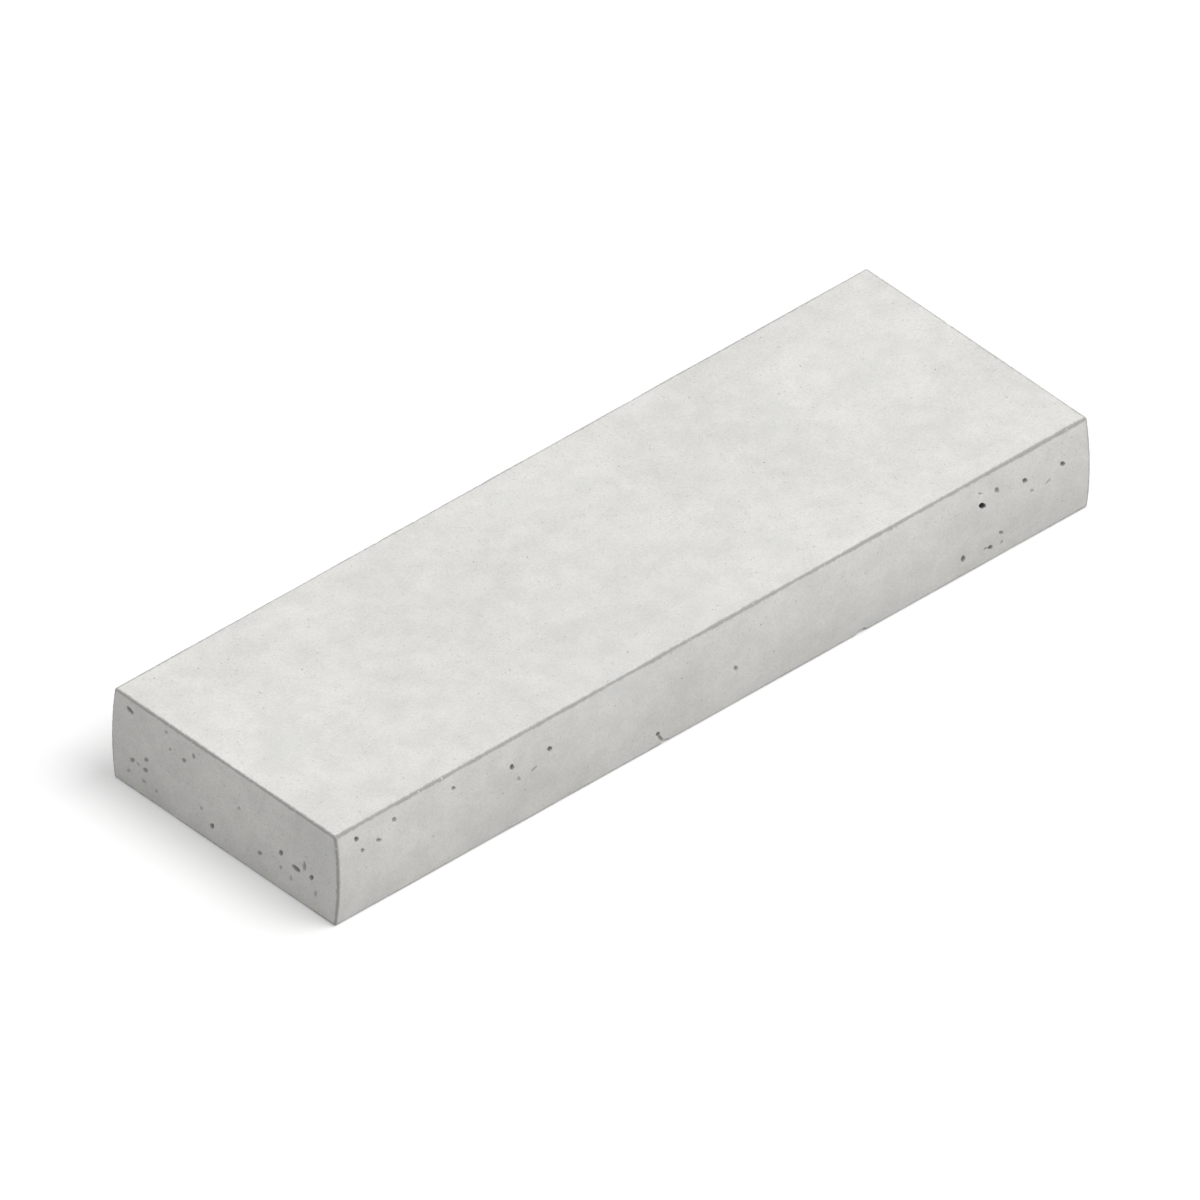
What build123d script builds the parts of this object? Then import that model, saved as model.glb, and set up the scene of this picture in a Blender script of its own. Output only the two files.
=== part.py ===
from build123d import *
import os

# Concrete cap block: one solid casting that finishes the top of a wall.
# X runs along the block, Y across it and Z up. The origin is the centre of the bed.

# Driving dimensions, in millimetres
length = 600.0  # from end face to end face
face_width = 194.0  # across the flat bed and the flat top, from arris to arris
height = 67.0  # from bed to top
side_bow = 3.0  # how far each long side stands out past its arrises at half height
arris_radius = 1.5  # rounding of every edge, as it leaves the mould

half_width = face_width / 2
half_height = height / 2

with BuildPart() as cap_block:
    # Section across the block: flat bed and top, and a shallow arc up each long side
    with BuildSketch(Plane.YZ):
        with BuildLine():
            bed = Line((-half_width, 0), (half_width, 0))
            rear_side = ThreePointArc(
                bed @ 1, (half_width + side_bow, half_height), (half_width, height)
            )
            top = Line(rear_side @ 1, (-half_width, height))
            ThreePointArc(top @ 1, (-half_width - side_bow, half_height), bed @ 0)
        make_face()
    extrude(amount=length / 2, both=True)

    # Arrises: the long edges of bed and top, and the outline of each end face
    fillet(cap_block.edges(), radius=arris_radius)

cap_block.part.label = "cap_block"

os.makedirs("parts", exist_ok=True)
export_step(cap_block.part, "parts/cap_block.step")
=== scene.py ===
import math
import random
from collections import namedtuple

import bpy
import numpy as np
from mathutils import Matrix, Vector, noise
from mathutils.geometry import delaunay_2d_cdt


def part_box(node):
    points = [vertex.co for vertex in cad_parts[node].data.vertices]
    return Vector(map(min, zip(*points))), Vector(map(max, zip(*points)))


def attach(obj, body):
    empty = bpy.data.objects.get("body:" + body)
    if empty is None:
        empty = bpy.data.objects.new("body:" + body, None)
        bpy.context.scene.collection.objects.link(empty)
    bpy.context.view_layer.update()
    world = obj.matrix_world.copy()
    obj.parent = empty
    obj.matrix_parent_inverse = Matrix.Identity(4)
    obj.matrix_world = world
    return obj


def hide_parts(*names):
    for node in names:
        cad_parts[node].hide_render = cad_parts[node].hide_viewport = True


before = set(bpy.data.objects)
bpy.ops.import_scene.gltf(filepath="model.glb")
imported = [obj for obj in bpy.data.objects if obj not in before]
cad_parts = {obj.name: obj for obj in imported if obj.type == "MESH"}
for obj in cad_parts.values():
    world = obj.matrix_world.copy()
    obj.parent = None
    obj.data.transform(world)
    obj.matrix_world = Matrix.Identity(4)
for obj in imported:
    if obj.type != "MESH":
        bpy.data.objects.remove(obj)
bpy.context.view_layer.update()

# The concrete cap block: one casting, so one closed mesh, which follows the CAD solid.
# Lengths are in millimetres. MM turns them into Blender's metres.
MM = 0.001
SEED = 24  # of the random draws that place what the drawing doesn't show

# The block's form. Its middle is half way up, and half sizes run out from there.
_, block_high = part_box("cap_block")
HALF_LENGTH = block_high.x / MM
HALF_FACE = 97.0  # half the width of the flat bed and top, as far as the arrises
HALF_HEIGHT = block_high.z / MM / 2
SIDE_BOW = block_high.y / MM - HALF_FACE  # how far a long side stands out past its arrises
HALF_SIZES = np.array([HALF_LENGTH, HALF_FACE, HALF_HEIGHT])

# Each face's own right and up, as it is seen square on. Outward is right x up.
FACES = {
    "top": ((1, 0, 0), (0, 1, 0)),
    "bed": ((1, 0, 0), (0, -1, 0)),
    "front": ((1, 0, 0), (0, 0, 1)),
    "rear": ((-1, 0, 0), (0, 0, 1)),
    "left": ((0, -1, 0), (0, 0, 1)),
    "right": ((0, 1, 0), (0, 0, 1)),
}

# Arrises: rounded, and worn a little unevenly
ARRIS_RADIUS = 1.5
ARRIS_UNEVEN = 0.35  # how much the radius comes and goes along an arris, as a share of it
ARRIS_BITE = 2.2  # how fast a small bite deepens where the noise passes its bar
ARRIS_BITE_BAR = 0.38
ARRIS_CRUMBLE = 0.24  # how deep single grains have come away at the arris itself
ARRIS_CRUMBLE_REACH = 2.0  # how far in from the arris that has faded to about a third
ARRIS_BAND = 8.0  # width of the band along each arris that the material may shade

# Flat skin: how far it may lie inside the ideal form
SKIN_WAVE = 0.12
SKIN_RIPPLE = 0.05

# The noises behind all these and behind the chips, as (size of their features, seed)
UNEVEN_NOISE = (28.0, 1)
BITE_NOISE = (6.0, 2)
WAVE_NOISE = (42.0, 3)
RIPPLE_NOISE = (11.0, 4)
CRUMBLE_NOISE = (1.7, 5)
CHIP_FINE_NOISE = (1.5, 6)
CHIP_COARSE_NOISE = (4.0, 7)
SEED_STRIDES = (7.3, 3.1, 5.7)  # how far one seed's noise lies from the next one's

# Mesh: rings of points that follow each face's outline, as (distance inside it, spacing)
OUTLINE_RINGS = (
    (0.0, 0.8),
    (0.45, 0.8),
    (0.95, 0.8),
    (1.5, 0.8),
    (2.2, 0.95),
    (3.1, 1.2),
    (4.4, 1.6),
    (6.2, 2.2),
    (8.6, 3.0),
)
RING_GAP = 0.5  # the closest that a ring's point comes to an older one, as a share of its spacing
FIELD_STEP = 4.0  # spacing of the points in the middle of a face
FIELD_INSET = 10.5  # how far inside the outline those start
FIELD_JITTER = 0.3  # how far each is moved at random, as a share of the spacing
FIELD_GAP = 0.55  # the closest that one comes to an older point, as a share of the spacing
FILL_OUTLINE = 0  # what the triangulation calls filling the outline of all its points
WELD_WITHIN = 1e-4  # points closer than this become one

# Air holes. depth is how deep a hole is cut, and the deeper it is, the darker the shade painted in it.
# Most are ovals, tilted so that they look as round from the camera as they are drawn.
Hole = namedtuple("Hole", "right up length width tilt depth")
FAINT, GREY, DARK, BLACK = 0.4, 0.7, 1.15, 3.4

# On the front: right of the middle, up from the bed, length, width, tilt, depth
FRONT_HOLES = [
    # at the left end, under the top arris
    Hole(-284, 58, 3.6, 2.4, -65, DARK),
    Hole(-280, 48, 3.2, 2.0, -55, GREY),
    Hole(-267, 49, 4.4, 2.1, -35, GREY),
    Hole(-254, 57, 3.4, 2.5, -65, GREY),
    Hole(-207, 56, 3.3, 2.0, -45, GREY),
    # a quarter of the way along
    Hole(-161, 48, 4.1, 2.4, -75, DARK),
    Hole(-156, 37, 3.3, 1.7, -80, FAINT),
    Hole(-144, 38, 4.8, 1.9, 20, FAINT),
    Hole(-131, 46, 3.9, 2.3, -50, DARK),
    # near the middle, one with a crack down to the bed's arris
    Hole(-44, 11, 3.4, 2.6, -55, DARK),
    Hole(-41.5, 6.5, 9.0, 1.6, -57, GREY),
    Hole(17, 29, 4.0, 2.2, -70, GREY),
    # at the right end, low down
    Hole(199, 15, 5.2, 2.4, -75, DARK),
    Hole(217, 13, 2.8, 1.8, -45, FAINT),
    Hole(221, 12, 4.0, 2.4, -45, DARK),
    Hole(230, 11, 2.3, 1.7, 85, FAINT),
    Hole(229, 19, 4.0, 2.0, -45, GREY),
    # at the right end, higher up, with the one black hole
    Hole(214, 47, 6.0, 3.0, -36, BLACK),
    Hole(213, 56, 3.0, 1.4, -40, FAINT),
    Hole(226, 52, 4.0, 2.4, -70, GREY),
    Hole(248, 48, 4.1, 2.4, -50, DARK),
    Hole(253, 38, 2.9, 1.7, -50, FAINT),
    Hole(266, 38, 4.4, 1.6, 25, FAINT),
    Hole(278, 45, 4.0, 2.4, -45, DARK),
]

# On the left end: right of the middle, up from the bed, length, width, tilt, depth
LEFT_HOLES = [
    # at the rear corner
    Hole(-82, 58, 5.6, 2.6, -22, DARK),
    Hole(-51, 60, 2.6, 1.8, 45, FAINT),
    Hole(-47, 49, 2.6, 1.8, 45, FAINT),
    Hole(-35, 48, 3.6, 2.1, 40, GREY),
    Hole(-27, 56, 3.4, 2.0, -80, GREY),
    Hole(-83, 12, 3.7, 1.9, 50, FAINT),
    Hole(-79, 22, 4.2, 2.1, 40, GREY),
    Hole(-74, 22, 2.8, 1.6, 10, FAINT),
    Hole(-70, 12, 3.6, 2.1, 30, FAINT),
    Hole(-68, 21, 4.3, 2.4, 35, GREY),
    Hole(-67, 29, 3.6, 2.1, 45, GREY),
    Hole(-59, 11, 2.8, 1.7, -85, FAINT),
    # between
    Hole(-20, 21, 2.4, 1.6, 50, FAINT),
    Hole(-11, 13, 4.1, 2.4, 60, DARK),
    Hole(12, 40, 2.8, 1.9, 60, FAINT),
    # at the front corner
    Hole(30, 17, 3.8, 2.2, 50, GREY),
    Hole(48, 28, 4.1, 2.4, 70, DARK),
    Hole(48, 17, 2.7, 1.7, 65, FAINT),
    Hole(57, 14, 3.4, 1.6, -85, FAINT),
    Hole(61, 24, 6.6, 2.9, -4, DARK),
    Hole(68, 30, 6.5, 2.2, 86, GREY),
    Hole(74, 25, 3.9, 2.4, 55, DARK),
    Hole(78, 15, 4.4, 1.8, 82, FAINT),
]

# How many air holes each side that the camera doesn't see has, in how many loose groups
HIDDEN_HOLES = {"rear": (24, 6), "right": (18, 4), "bed": (40, 12)}
GROUP_ALONG = (0.2, 0.8)  # where in its own stretch of the face a group has its middle
GROUP_UP = (-0.55, 0.55)  # and how high, from -1 at the face's foot to 1 at its head
GROUP_REACH = 15.0  # how far a group's holes spread along the face. Upwards it is half of that.
HOLES_APART = 6.0  # the closest that the middles of two of them lie, or one to the face's edge
HIDDEN_WIDTHS = (1.6, 2.6)
HIDDEN_RATIOS = (1.1, 1.2, 1.4, 1.9)  # length to width
HIDDEN_DEPTHS = (FAINT, FAINT, GREY, GREY, DARK)

# The rim of an air hole. It follows a small loop through noise, so that it closes smoothly.
HOLE_RIM = 0.45  # how far it stands outside the dark middle that the lists give
HOLE_UNEVEN = 0.22  # how far it stands in or out of its ellipse, as a share of it
HOLE_FARTHEST = 1.5  # a share of its ellipse that no rim reaches
LOOP_RADIUS = 1.1  # the wider it is, the more often the rim goes in and out
LOOP_STRIDE = 0.37  # how far through the noise a hole's loop lies from that of one 1 mm to the left

# Mesh: rings of points in and round an air hole, as (share of the mouth, distance outside it,
# spacing along the rim). The rings beside the rim have its spacing, so that it comes out smooth.
ONE_POINT = 100.0  # a spacing longer than any rim
HOLE_RINGS = (
    (1.0, 0.0, 0.36),
    (0.92, 0.0, 0.36),
    (1.0, 0.16, 0.36),
    (0.76, 0.0, 0.45),
    (0.5, 0.0, 0.7),
    (0.22, 0.0, 1.5),
    (0.0, 0.0, ONE_POINT),
    (1.0, 0.55, 0.55),
    (1.0, 1.3, 1.1),
)
HOLE_GAP = 0.06  # the closest that two points of air holes may lie
EDGE_MARGIN = 0.3  # the closest that they may lie to their face's edge

# Chips out of the bed's arris, as (place on the sharp form, length, depth)
CHIPS = [
    ((119, -HALF_FACE, -HALF_HEIGHT), 9.5, 2.0),
    ((-37, -HALF_FACE, -HALF_HEIGHT), 7.0, 1.6),
    ((-212, HALF_FACE, -HALF_HEIGHT), 7.0, 1.2),
    ((HALF_LENGTH, 22, -HALF_HEIGHT), 5.0, 1.0),
]
CHIP_INSET = 0.4  # how far inside the sharp arris a depth counts from, as a share of ARRIS_RADIUS
CHIP_ROUGH_FINE = 0.08  # how rough a chip's face is, as a share of the face's radius
CHIP_ROUGH_COARSE = 0.06


def face_axes(face):
    """A face's right, up and outward directions."""
    right, up = (np.array(axis, float) for axis in FACES[face])
    return right, up, np.cross(right, up)


def face_half_sizes(face):
    """Half a face's width and half its height."""
    right, up, _ = face_axes(face)
    return abs(HALF_SIZES @ right), abs(HALF_SIZES @ up)


def outline(half_width, half_height, step):
    """Evenly spaced points round a rectangle, its four corners among them."""
    across = np.linspace(-half_width, half_width, round(2 * half_width / step) + 1)
    up = np.linspace(-half_height, half_height, round(2 * half_height / step) + 1)
    points = [(x, side * half_height) for x in across for side in (-1, 1)]
    points += [(side * half_width, y) for y in up[1:-1] for side in (-1, 1)]
    return points


def wobble(angle, hole):
    """Where an air hole's rim lies at an angle, as a share of its ellipse."""
    x, y = math.cos(angle) * LOOP_RADIUS, math.sin(angle) * LOOP_RADIUS
    return 1 + HOLE_UNEVEN * noise.noise(Vector((x, y, hole.right * LOOP_STRIDE + hole.up)))


def half_mouth(hole):
    """Half the length and half the width of an air hole's mouth."""
    return hole.length / 2 + HOLE_RIM, hole.width / 2 + HOLE_RIM


def hole_rings(hole):
    """Rings of points in and round an air hole. The first one is its rim."""
    turn = math.radians(hole.tilt)
    half_length, half_width = half_mouth(hole)
    rings = []
    for share, beyond, step in HOLE_RINGS:
        count = max(1, round(math.pi * (half_length + half_width) / step))
        ring = []
        for k in range(count):
            angle = math.tau * k / count
            size = share * wobble(angle, hole)
            x = (half_length * size + beyond) * math.cos(angle)
            y = (half_width * size + beyond) * math.sin(angle)
            ring.append((
                hole.right + x * math.cos(turn) - y * math.sin(turn),
                hole.up - HALF_HEIGHT + x * math.sin(turn) + y * math.cos(turn),
            ))
        rings.append(ring)
    return rings


def hollow(hole, places):
    """How deep an air hole is at each place: a bowl with a steep wall, and 0 outside its rim."""
    turn = math.radians(hole.tilt)
    half_length, half_width = half_mouth(hole)
    x, y = places[:, 0] - hole.right, places[:, 1] - (hole.up - HALF_HEIGHT)
    along = (x * math.cos(turn) + y * math.sin(turn)) / half_length
    across = (y * math.cos(turn) - x * math.sin(turn)) / half_width
    share = np.hypot(along, across)
    for i in np.flatnonzero(share < HOLE_FARTHEST):
        share[i] /= wobble(math.atan2(across[i], along[i]), hole)
    return hole.depth * np.sqrt(np.clip(1 - share**2, 0, None))


class Net:
    """The points of one face's mesh, kept apart from each other."""

    CELL = 1.5  # side of the squares that they are sorted into, to find those near a new one

    def __init__(self):
        self.points = []
        self.cells = {}

    def add(self, points, gap):
        """Adds the points that have no other within the gap. Returns the numbers of the added ones."""
        first = len(self.points)
        reach = math.ceil(gap / self.CELL)
        for x, y in points:
            column, row = math.floor(x / self.CELL), math.floor(y / self.CELL)
            near = (
                other
                for i in range(column - reach, column + reach + 1)
                for j in range(row - reach, row + reach + 1)
                for other in self.cells.get((i, j), ())
            )
            if gap and any(math.hypot(x - a, y - b) < gap for a, b in near):
                continue
            self.cells.setdefault((column, row), []).append((x, y))
            self.points.append((x, y))
        return range(first, len(self.points))


def face_net(face, holes, rng):
    """Triangulates one face: dense at its arrises and air holes, and open in the middle.

    The rim of an air hole is a closed chain of edges, which no triangle crosses.
    """
    half_width, half_height = face_half_sizes(face)
    inner_width, inner_height = half_width - EDGE_MARGIN, half_height - EDGE_MARGIN
    net = Net()
    net.add(outline(half_width, half_height, OUTLINE_RINGS[0][1]), 0)
    rim_edges = []
    for hole in holes:
        rim, *others = (
            [(x, y) for x, y in ring if abs(x) < inner_width and abs(y) < inner_height]
            for ring in hole_rings(hole)
        )
        numbers = net.add(rim, HOLE_GAP)
        rim_edges += zip(numbers, [*numbers[1:], numbers[0]])
        for ring in others:
            net.add(ring, HOLE_GAP)
    for inset, step in OUTLINE_RINGS[1:]:
        net.add(outline(half_width - inset, half_height - inset, step), RING_GAP * step)
    field = [
        (
            x + rng.uniform(-FIELD_JITTER, FIELD_JITTER) * FIELD_STEP,
            y + rng.uniform(-FIELD_JITTER, FIELD_JITTER) * FIELD_STEP,
        )
        for x in np.arange(FIELD_INSET - half_width, half_width - FIELD_INSET, FIELD_STEP)
        for y in np.arange(FIELD_INSET - half_height, half_height - FIELD_INSET, FIELD_STEP)
    ]
    net.add(field, FIELD_GAP * FIELD_STEP)
    places = [Vector(place) for place in net.points]
    found = delaunay_2d_cdt(places, rim_edges, [], FILL_OUTLINE, WELD_WITHIN, False)
    return np.array([tuple(place) for place in found[0]]), np.array(found[2])


def hidden_holes(face, rng):
    """Air holes for a side that the camera doesn't see, in loose groups like the drawn ones."""
    count, groups = HIDDEN_HOLES[face]
    half_width, half_height = face_half_sizes(face)
    middles = []
    for k in range(groups):
        along = (k + rng.uniform(*GROUP_ALONG)) / groups * 2 - 1
        up = rng.uniform(*GROUP_UP)
        middles.append((along * half_width, up * half_height))
    holes = []
    while len(holes) < count:
        x, y = middles[len(holes) % groups]
        x += rng.gauss(0, GROUP_REACH)
        y += rng.gauss(0, GROUP_REACH / 2)
        if abs(x) > half_width - HOLES_APART or abs(y) > half_height - HOLES_APART:
            continue
        if any(math.hypot(x - hole.right, y + HALF_HEIGHT - hole.up) < HOLES_APART for hole in holes):
            continue
        width = rng.uniform(*HIDDEN_WIDTHS)
        length = width * rng.choice(HIDDEN_RATIOS)
        depth = rng.choice(HIDDEN_DEPTHS)
        holes.append(Hole(x, y + HALF_HEIGHT, length, width, rng.uniform(-90, 90), depth))
    return holes


def noise_at(points, size, seed):
    """Smooth noise of about -1 to 1 at each point, for features of about that size."""
    offset = Vector([seed * stride for stride in SEED_STRIDES])
    return np.array([noise.noise(Vector(point) / size + offset) for point in points])


def cast_form(sharp, inset):
    """How points of the sharp form come to lie on the cast one, rounded, worn and a little uneven.

    Returns the middle that each point's rounding turns about, the way out from it, the radius of
    the rounding, and how far the skin is sunk.
    """
    at_arris = np.exp(-inset / ARRIS_CRUMBLE_REACH)
    bite = np.clip(noise_at(sharp, *BITE_NOISE) - ARRIS_BITE_BAR, 0, None) * ARRIS_BITE
    radius = ARRIS_RADIUS * (1 + ARRIS_UNEVEN * noise_at(sharp, *UNEVEN_NOISE)) + bite
    reach = HALF_SIZES - radius[:, None]
    core = np.clip(sharp, -reach, reach)
    outward = sharp - core
    outward /= np.linalg.norm(outward, axis=1)[:, None]
    sunk = SKIN_WAVE * (0.5 + 0.5 * noise_at(sharp, *WAVE_NOISE))
    sunk += SKIN_RIPPLE * (0.5 + 0.5 * noise_at(sharp, *RIPPLE_NOISE))
    sunk += ARRIS_CRUMBLE * at_arris * np.clip(noise_at(sharp, *CRUMBLE_NOISE), 0, None)
    return core, outward, radius, np.clip(sunk, 0, None)


def bow_sides(points):
    """Bends the long sides out into shallow arcs, and takes what lies inside along."""
    arc_radius = (HALF_HEIGHT**2 + SIDE_BOW**2) / (2 * SIDE_BOW)
    bow = np.sqrt(arc_radius**2 - points[:, 2] ** 2) - (arc_radius - SIDE_BOW)
    points[:, 1] *= 1 + bow / HALF_FACE


def knock_off(points, chips):
    """Scoops a rough ball out of the arris at each chip. Returns 1 for points that moved, else 0."""
    chipped = np.zeros(len(points))
    for place, length, depth in chips:
        place = np.array(place, float)
        outward = np.where(np.isclose(np.abs(place), HALF_SIZES), np.sign(place), 0)
        outward /= np.linalg.norm(outward)
        radius = (length**2 / 4 + depth**2) / (2 * depth)
        centre = place + outward * (radius - depth - ARRIS_RADIUS * CHIP_INSET)
        away = points - centre
        distance = np.linalg.norm(away, axis=1)
        fine = CHIP_ROUGH_FINE * noise_at(points, *CHIP_FINE_NOISE)
        coarse = CHIP_ROUGH_COARSE * noise_at(points, *CHIP_COARSE_NOISE)
        rough = radius * (1 + fine + coarse)
        inside = distance < rough
        points[inside] = centre + away[inside] * (rough / distance)[inside, None]
        chipped[inside] = 1
    return chipped


# The square map that each face has its own picture on, all at one scale, and the gap between two
MAP_ROWS = (("top",), ("bed",), ("front",), ("rear",), ("left", "right"))
MAP_SIDE = 606.0
MAP_GAP = 3.0


def map_middles():
    """Where the middle of each face's picture lies on the map, as (right, up) from its corner."""
    middles, bottom = {}, MAP_GAP
    for row in MAP_ROWS:
        left = MAP_GAP
        for face in row:
            half_width, half_height = face_half_sizes(face)
            middles[face] = np.array([left + half_width, bottom + half_height])
            left += 2 * half_width + MAP_GAP
        bottom += 2 * half_height + MAP_GAP
    return middles


def sharp_form():
    """The nets of all faces on the sharp form, not joined yet.

    Returns for each point its place, how far inside its face's outline it lies, how deep an air
    hole is there and its place on the map, and then the triangles.
    """
    rng = random.Random(SEED)
    holes = {"front": FRONT_HOLES, "left": LEFT_HOLES, "top": []}
    holes.update({face: hidden_holes(face, rng) for face in HIDDEN_HOLES})
    middles = map_middles()
    sharp, inset, depth, map_points, triangles = [], [], [], [], []
    for face in FACES:
        right, up, out = face_axes(face)
        half_width, half_height = face_half_sizes(face)
        places, faces = face_net(face, holes[face], rng)
        triangles.append(faces + sum(len(points) for points in sharp))
        level = np.outer(places[:, 0], right) + np.outer(places[:, 1], up)
        sharp.append(level + out * abs(HALF_SIZES @ out))
        inset.append(np.minimum(half_width - abs(places[:, 0]), half_height - abs(places[:, 1])))
        depths = [np.zeros(len(places))] + [hollow(hole, places) for hole in holes[face]]
        depth.append(np.max(depths, axis=0))
        map_points.append((places + middles[face]) / MAP_SIDE)
    return [np.concatenate(part) for part in (sharp, inset, depth, map_points, triangles)]


def cap_block_mesh():
    """The whole casting as one closed mesh, with its bake map and the values its material reads."""
    sharp, inset, depth, map_points, triangles = sharp_form()

    # Neighbouring faces share their outline's points
    _, first, same = np.unique(np.round(sharp, 3), axis=0, return_index=True, return_inverse=True)
    same = same.ravel()
    core, outward, radius, sunk = cast_form(sharp[first], inset[first])
    points = core + outward * (radius - sunk - depth[first])[:, None]
    chipped = knock_off(points, CHIPS)
    bow_sides(points)
    points[:, 2] += HALF_HEIGHT

    mesh = bpy.data.meshes.new("cap_block_cast")
    mesh.from_pydata((points * MM).tolist(), [], same[triangles].tolist())
    layer = mesh.uv_layers.new(name="OFBake")
    layer.uv.foreach_set("vector", map_points[triangles].astype(np.float32).ravel())
    arris = np.clip(1 - inset[first] / ARRIS_BAND, 0, 1)
    for name, values in (("arris", arris), ("hollow", depth[first]), ("chipped", chipped)):
        attribute = mesh.attributes.new(name, "FLOAT", "POINT")
        attribute.data.foreach_set("value", values.astype(np.float32))
    mesh.validate()
    return mesh


def empty_tree(owner):
    """The node tree of a material or a world, with nothing in it."""
    owner.use_nodes = True
    owner.node_tree.nodes.clear()
    return owner.node_tree


def node(tree, kind, sockets=None, **properties):
    """Adds a node, sets its properties, and sets or links its sockets."""
    made = tree.nodes.new(kind)
    for name, value in properties.items():
        setattr(made, name, value)
    for name, value in (sockets or {}).items():
        if isinstance(value, bpy.types.NodeSocket):
            tree.links.new(value, made.inputs[name])
        else:
            made.inputs[name].default_value = value
    return made


def maths(tree, operation, *values, clamp=False):
    """One number out of the others."""
    sockets = dict(enumerate(values))
    return node(tree, "ShaderNodeMath", sockets, operation=operation, use_clamp=clamp).outputs[0]


def mixed(tree, factor, first, second):
    """The first colour where the factor is 0, and the second where it is 1."""
    sockets = {0: factor, 6: first, 7: second}
    return node(tree, "ShaderNodeMix", sockets, data_type="RGBA").outputs[2]


def from_mesh(tree, name):
    """The value that the mesh carries under that name."""
    return node(tree, "ShaderNodeAttribute", attribute_name=name).outputs["Fac"]


def stepped(tree, value, low, high, to_low=0.0, to_high=1.0):
    """value taken from low..high to to_low..to_high, eased and held at both ends."""
    sockets = {0: value, 1: low, 2: high, 3: to_low, 4: to_high}
    made = node(tree, "ShaderNodeMapRange", sockets, interpolation_type="SMOOTHSTEP")
    return made.outputs[0]


def grain(tree, place, size, detail=2.0, rough=0.5):
    """Noise with features of about that size in millimetres."""
    sockets = {"Vector": place, "Scale": 1 / size, "Detail": detail, "Roughness": rough}
    return node(tree, "ShaderNodeTexNoise", sockets).outputs[0]


def shaken(tree, place, size, reach):
    """Places moved about by noise of that size, so that what is drawn with them comes out irregular."""
    sockets = {"Vector": place, "Scale": 1 / size, "Detail": 2.0}
    shake = node(tree, "ShaderNodeTexNoise", sockets).outputs["Color"]
    sockets = {0: shake, 1: (0.5,) * 3}
    centred = node(tree, "ShaderNodeVectorMath", sockets, operation="SUBTRACT").outputs[0]
    sockets = {0: centred, 1: (2 * reach,) * 3, 2: place}
    return node(tree, "ShaderNodeVectorMath", sockets, operation="MULTIPLY_ADD").outputs[0]


def cells(tree, place, size):
    """Cells of about that size: how far off a cell's middle is, and three random levels of its own."""
    made = node(tree, "ShaderNodeTexVoronoi", {"Vector": place, "Scale": 1 / size})
    levels = node(tree, "ShaderNodeSeparateColor", {0: made.outputs["Color"]}).outputs
    return made.outputs["Distance"], levels


# Colours of the concrete in linear light, and the painted shade of its holes
PASTE = (0.75, 0.742, 0.715)
COOL_PASTE = (0.66, 0.665, 0.655, 1)
PALE_SAND = (0.82, 0.81, 0.78, 1)
DARK_SAND = (0.34, 0.335, 0.32, 1)
TAN_SAND = (0.55, 0.48, 0.38, 1)
WORN_ARRIS = (0.30, 0.295, 0.283, 1)
# Painted shade: the near black that air holes and pinholes are painted towards, for the shade that
# falls in them
HOLE_PAINTED_SHADE = (0.035, 0.035, 0.034, 1)
HOLE_DARKENS_IN = 0.85  # the depth in which an air hole's wall is painted about two thirds of the way to that painted shade

# Wear of the arrises. It shows where a face's nearness to its arris, 1 at the arris itself, and
# two noises add up to more than a bar.
WEAR_RAGGED = 0.36  # share of the fine noise, which frays the wear's edge
WEAR_STRETCHES = 0.16  # share of the coarse one, which makes some stretches more worn than others
WEAR_STARTS, WEAR_FULL = 0.98, 1.2
WEAR_DARKENS = 0.8

# Sand grains of each size, as (size of the cells that hold them, the largest one's radius in a
# cell, how much they show)
SAND_SIZES = ((1.0, 0.42, 0.4), (1.9, 0.36, 0.34), (4.2, 0.28, 0.26))
SAND_EDGE = (-0.1, 0.02)  # from where to where a grain fades out, counted from its radius

# Which of the grains have which colour, as (which of its cell's levels counts, on which side of
# what level, colour)
SAND_COLOURS = (
    (0, "LESS_THAN", 0.16, DARK_SAND),
    (2, "LESS_THAN", 0.12, TAN_SAND),
    (2, "GREATER_THAN", 0.88, PALE_SAND),
)
SAND_RAISED = 0.3  # share of the grains that stand out of the skin

# Pinholes too small to model, with shade painted into them
PINHOLE_CELL = 9.0  # size of the cells that may hold one
PINHOLE_SHARE = 0.4  # share of the cells that do
PINHOLE_RADII = (0.025, 0.06)  # the smallest and the largest in a cell
# how far a pinhole is painted towards the painted shade of the holes
PINHOLE_PAINTED_SHADE = 0.5

# Relief too fine to model: how high each part of it stands, in units of RELIEF_UNIT
RELIEF_UNIT = 0.12 * MM
RELIEF_STRENGTH = 0.8
UNEVEN_HEIGHT = 2.6
SPECKLE_HEIGHT = 1.3
SAND_HEIGHT = 0.2
WORN_HEIGHT = 2.2
PINHOLE_DEPTH = 3.0


def paste_colour(tree, place, speckle):
    """Pale paste: cloudy over a hand's width, mottled over a finger's, grainy over a millimetre."""
    cloud = grain(tree, place, size=110.0, detail=4.0, rough=0.6)
    mottle_place = shaken(tree, place, size=30.0, reach=8.0)
    mottle = grain(tree, mottle_place, size=17.0, detail=5.0, rough=0.62)
    tone = stepped(tree, cloud, 0.3, 0.7, to_low=0.935, to_high=1.03)
    for layer in (
        stepped(tree, mottle, 0.3, 0.7, to_low=0.95, to_high=1.035),
        stepped(tree, speckle, 0.25, 0.75, to_low=0.93, to_high=1.05),
    ):
        tone = maths(tree, "MULTIPLY", tone, layer)
    sockets = {0: PASTE, "Scale": tone}
    colour = node(tree, "ShaderNodeVectorMath", sockets, operation="SCALE").outputs[0]
    cool = stepped(tree, grain(tree, place, size=48.0, detail=3.0, rough=0.6), 0.5, 0.75, to_high=0.45)
    return mixed(tree, cool, colour, COOL_PASTE)


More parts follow.
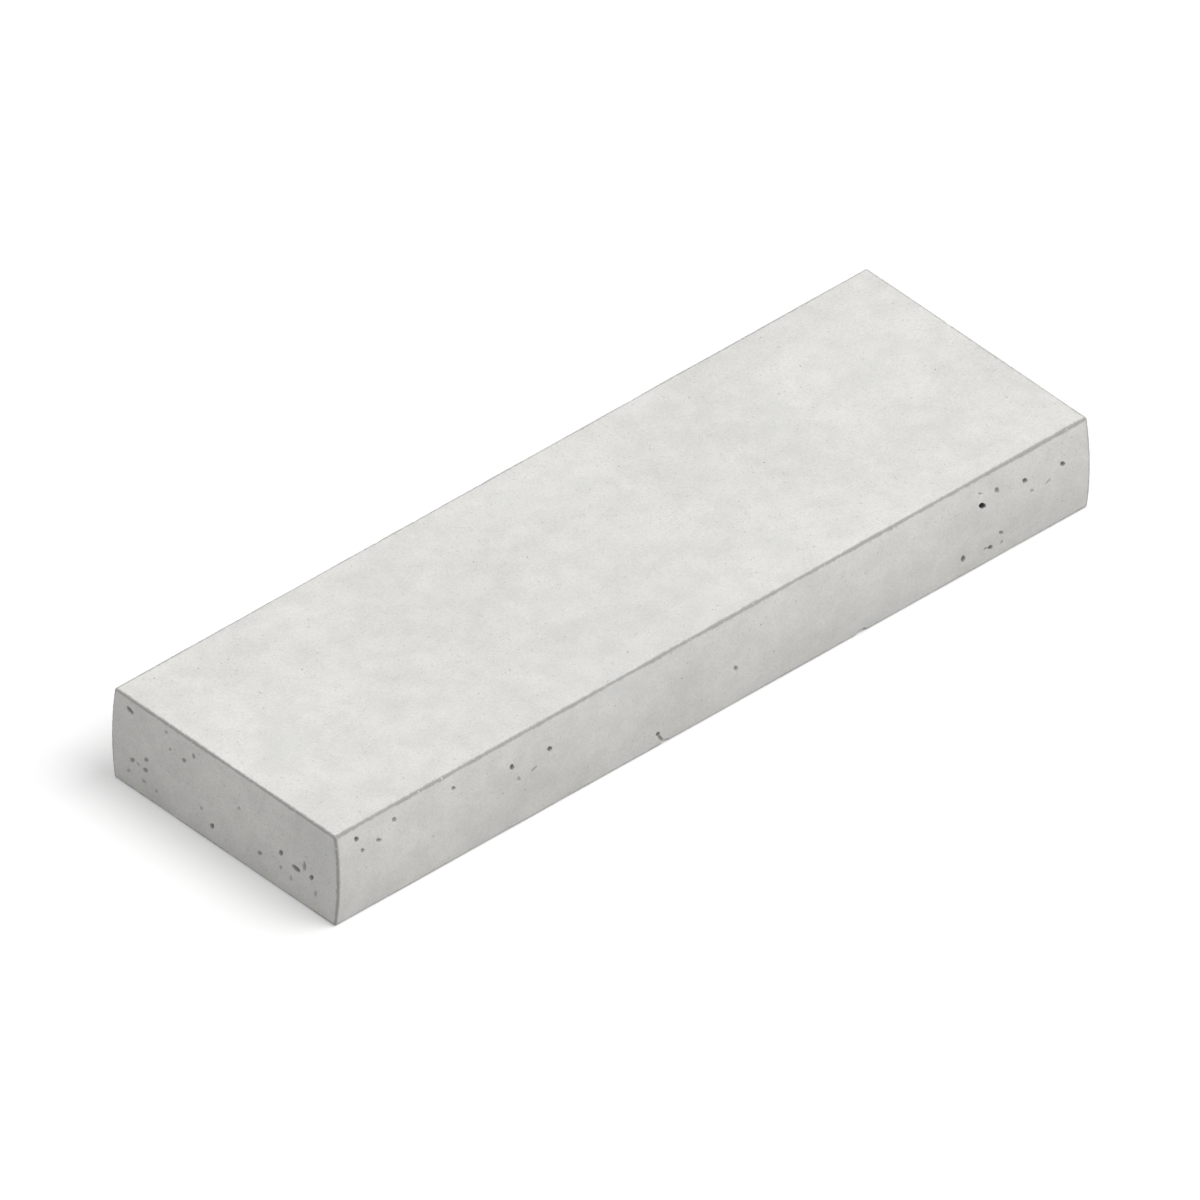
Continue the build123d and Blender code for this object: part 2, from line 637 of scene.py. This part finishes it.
def wear(tree, place):
    """1 where the arrises have lost their skin and in chips, and 0 where the skin is whole."""
    ragged = grain(tree, place, size=3.2, detail=4.0, rough=0.75)
    stretches = grain(tree, place, size=38.0, detail=3.0, rough=0.6)
    near = from_mesh(tree, "arris")
    near = maths(tree, "ADD", near, maths(tree, "MULTIPLY", ragged, WEAR_RAGGED))
    near = maths(tree, "ADD", near, maths(tree, "MULTIPLY", stretches, WEAR_STRETCHES))
    worn = stepped(tree, near, WEAR_STARTS, WEAR_FULL)
    return maths(tree, "MAXIMUM", worn, from_mesh(tree, "chipped"))


def with_sand(tree, place, colour, worn):
    """Adds sand: uneven spots in some of the cells, each dark, tan or pale, and stronger where worn.

    Returns the colour with its sand, and where grains stand out of the skin.
    """
    standing = 0.0
    showing = maths(tree, "ADD", 1.0, worn)
    for size, largest, strength in SAND_SIZES:
        uneven_place = shaken(tree, place, size=0.5 * size, reach=0.3 * size)
        distance, levels = cells(tree, uneven_place, size)
        radius = maths(tree, "MULTIPLY", levels[1], largest)
        beyond = maths(tree, "SUBTRACT", distance, radius)
        spot = stepped(tree, beyond, *SAND_EDGE, to_low=1.0, to_high=0.0)
        strength = maths(tree, "MULTIPLY", showing, strength, clamp=True)
        for level, side, bar, sand in SAND_COLOURS:
            chosen = maths(tree, side, levels[level], bar)
            amount = maths(tree, "MULTIPLY", maths(tree, "MULTIPLY", spot, chosen), strength)
            colour = mixed(tree, amount, colour, sand)
        chosen = maths(tree, "LESS_THAN", levels[0], SAND_RAISED)
        standing = maths(tree, "ADD", standing, maths(tree, "MULTIPLY", spot, chosen))
    return colour, standing


def pinholes(tree, place):
    """1 in a pinhole, and else 0."""
    distance, levels = cells(tree, place, PINHOLE_CELL)
    radius = stepped(tree, levels[1], 0.0, 1.0, *PINHOLE_RADII)
    inside = maths(tree, "LESS_THAN", distance, radius)
    chosen = maths(tree, "LESS_THAN", levels[0], PINHOLE_SHARE)
    return maths(tree, "MULTIPLY", inside, chosen)


def relief(tree, place, speckle, standing, worn, pinhole):
    """The mould's soft unevenness, a fine tooth, standing sand, coarse worn arrises, and pinholes."""
    uneven = grain(tree, place, size=7.0, detail=3.0, rough=0.55)
    coarse = maths(tree, "MULTIPLY", worn, grain(tree, place, size=1.4, detail=2.0, rough=0.6))
    height = maths(tree, "MULTIPLY", speckle, SPECKLE_HEIGHT)
    for operation, part, part_height in (
        ("ADD", standing, SAND_HEIGHT),
        ("ADD", uneven, UNEVEN_HEIGHT),
        ("ADD", coarse, WORN_HEIGHT),
        ("SUBTRACT", pinhole, PINHOLE_DEPTH),
    ):
        height = maths(tree, operation, height, maths(tree, "MULTIPLY", part, part_height))
    sockets = {"Height": height, "Strength": RELIEF_STRENGTH, "Distance": RELIEF_UNIT}
    return node(tree, "ShaderNodeBump", sockets).outputs[0]


def pale_concrete():
    """Smooth cast concrete: cloudy pale paste, fine sand through it, pinholes, and worn arrises, with
    shade painted into the air holes and pinholes.
    """
    material = bpy.data.materials.new("pale_concrete")
    tree = empty_tree(material)
    here = node(tree, "ShaderNodeTexCoord").outputs["Object"]
    place = node(tree, "ShaderNodeMapping", {"Vector": here, "Scale": (1 / MM,) * 3}).outputs[0]
    speckle = grain(tree, place, size=1.6, detail=3.0, rough=0.7)
    worn = wear(tree, place)
    pinhole = pinholes(tree, place)

    colour = paste_colour(tree, place, speckle)
    colour = mixed(tree, maths(tree, "MULTIPLY", worn, WEAR_DARKENS), colour, WORN_ARRIS)
    colour, standing = with_sand(tree, place, colour, worn)
    # Painted shade in the pinholes
    colour = mixed(tree, maths(tree, "MULTIPLY", pinhole, PINHOLE_PAINTED_SHADE), colour, HOLE_PAINTED_SHADE)

    # Painted shade: air holes are painted darker the deeper they are, for the shade that falls in them
    fade = maths(tree, "DIVIDE", from_mesh(tree, "hollow"), -HOLE_DARKENS_IN)
    colour = mixed(tree, maths(tree, "EXPONENT", fade), HOLE_PAINTED_SHADE, colour)

    sockets = {
        "Base Color": colour,
        "Roughness": stepped(tree, speckle, 0.2, 0.8, to_low=0.8, to_high=0.95),
        "Normal": relief(tree, place, speckle, standing, worn, pinhole),
        "Specular IOR Level": 0.35,
    }
    surface = node(tree, "ShaderNodeBsdfPrincipled", sockets)
    node(tree, "ShaderNodeOutputMaterial", {"Surface": surface.outputs[0]})
    return material


SMOOTH_ANGLE = 38.0  # degrees. Faces that meet at more than this show an edge.


def make_cap_block():
    """The casting, which stands for the CAD solid and rides its body."""
    mesh = cap_block_mesh()
    mesh.materials.append(pale_concrete())
    block = bpy.data.objects.new("cap_block_cast", mesh)
    bpy.context.scene.collection.objects.link(block)
    bpy.context.view_layer.objects.active = block
    block.select_set(True)
    bpy.ops.object.shade_smooth_by_angle(angle=math.radians(SMOOTH_ANGLE))
    block.select_set(False)
    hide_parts("cap_block")
    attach(block, "root")


def seen_directly(tree):
    """1 for rays from the camera and for those that mirror or pass straight through, and else 0."""
    path = node(tree, "ShaderNodeLightPath").outputs
    found = maths(tree, "ADD", path["Is Camera Ray"], path["Is Glossy Ray"])
    return maths(tree, "ADD", found, path["Is Transmission Ray"], clamp=True)


# Light: an even sky, a soft key from the front right and a weaker one from the front left
SKY = 0.42
KEY = (38, 62, 0.62)  # degrees round from the front towards the right, degrees up, strength
FILL = (-60, 35, 0.09)
SUN_WIDTH = 36.0  # how wide each lamp looks, in degrees, which sets how soft its shadows are

# Floor
FLOOR_SIZE = 12.0  # metres
FLOOR_DROP = 0.05  # how far it lies under the bed, so that the two never share a plane
FLOOR_BOUNCE = 0.55  # its colour as it lights the block
FLOOR_SEEN = 0.74  # its colour where the camera sees it, which sets how dark the shadow is
FLOOR_GLOW = 0.28  # what is added there to bring the open floor to white


def make_floor():
    """A floor that is as white as the backdrop, apart from the block's shadow."""
    mesh = bpy.data.meshes.new("floor")
    half, level = FLOOR_SIZE / 2, -FLOOR_DROP * MM
    corners = [(-half, -half, level), (half, -half, level), (half, half, level), (-half, half, level)]
    mesh.from_pydata(corners, [], [(0, 1, 2, 3)])
    material = bpy.data.materials.new("floor")
    tree = empty_tree(material)
    seen = seen_directly(tree)
    colour = mixed(tree, seen, (FLOOR_BOUNCE,) * 3 + (1,), (FLOOR_SEEN,) * 3 + (1,))
    paint = node(tree, "ShaderNodeBsdfDiffuse", {"Color": colour})
    strength = maths(tree, "MULTIPLY", seen, FLOOR_GLOW)
    glow = node(tree, "ShaderNodeEmission", {"Strength": strength})
    both = node(tree, "ShaderNodeAddShader", {0: paint.outputs[0], 1: glow.outputs[0]})
    node(tree, "ShaderNodeOutputMaterial", {"Surface": both.outputs[0]})
    mesh.materials.append(material)
    floor = bpy.data.objects.new("floor", mesh)
    bpy.context.scene.collection.objects.link(floor)


def make_world():
    """A sky that is white to the camera and lights the block at its own strength."""
    world = bpy.data.worlds.new("world")
    tree = empty_tree(world)
    extra = maths(tree, "MULTIPLY", seen_directly(tree), 1 - SKY)
    strength = maths(tree, "ADD", extra, SKY)
    sky = node(tree, "ShaderNodeBackground", {"Color": (1, 1, 1, 1), "Strength": strength})
    node(tree, "ShaderNodeOutputWorld", {"Surface": sky.outputs[0]})
    bpy.context.scene.world = world


def direction(round_degrees, up_degrees):
    """From the block towards a lamp or camera. 0 degrees round is the front, and 90 the right end."""
    turn, rise = math.radians(round_degrees), math.radians(up_degrees)
    return Vector((math.sin(turn) * math.cos(rise), -math.cos(turn) * math.cos(rise), math.sin(rise)))


def make_lamp(name, round_degrees, up_degrees, strength):
    """A wide sun in that direction. At strength 1 it alone brings white that faces it to white."""
    lamp = bpy.data.lights.new(name, "SUN")
    lamp.energy = strength * math.pi
    lamp.angle = math.radians(SUN_WIDTH)
    holder = bpy.data.objects.new(name, lamp)
    holder.rotation_mode = "QUATERNION"
    holder.rotation_quaternion = (-direction(round_degrees, up_degrees)).to_track_quat("-Z", "Y")
    bpy.context.scene.collection.objects.link(holder)


# Camera: the drawing is a parallel projection, seen from the left of the front and from above
PICTURE_SIDE = 1200  # pixels
PIXELS_PER_MM = 1.6937
CAMERA_ROUND, CAMERA_UP = -42.22, 38.0
BED_MIDDLE_PIXEL = (600.9, 641.9)  # where the middle of the bed lies in the picture
CAMERA_DISTANCE = 2.0  # metres


def make_camera():
    """A parallel camera that has the middle of the bed at its pixel of the picture."""
    data = bpy.data.cameras.new("camera")
    data.type = "ORTHO"
    data.ortho_scale = PICTURE_SIDE / PIXELS_PER_MM * MM
    back = direction(CAMERA_ROUND, CAMERA_UP)
    turned = (-back).to_track_quat("-Z", "Y")
    across = (PICTURE_SIDE / 2 - BED_MIDDLE_PIXEL[0]) / PIXELS_PER_MM * MM
    up = (BED_MIDDLE_PIXEL[1] - PICTURE_SIDE / 2) / PIXELS_PER_MM * MM
    camera = bpy.data.objects.new("camera", data)
    turned_matrix = turned.to_matrix()
    place = back * CAMERA_DISTANCE + turned_matrix @ Vector((across, up, 0))
    camera.matrix_world = Matrix.Translation(place) @ turned_matrix.to_4x4()
    bpy.context.scene.collection.objects.link(camera)
    bpy.context.scene.camera = camera


make_cap_block()
make_floor()
make_world()
make_lamp("key", *KEY)
make_lamp("fill", *FILL)
make_camera()
bpy.context.scene.view_settings.view_transform = "Standard"
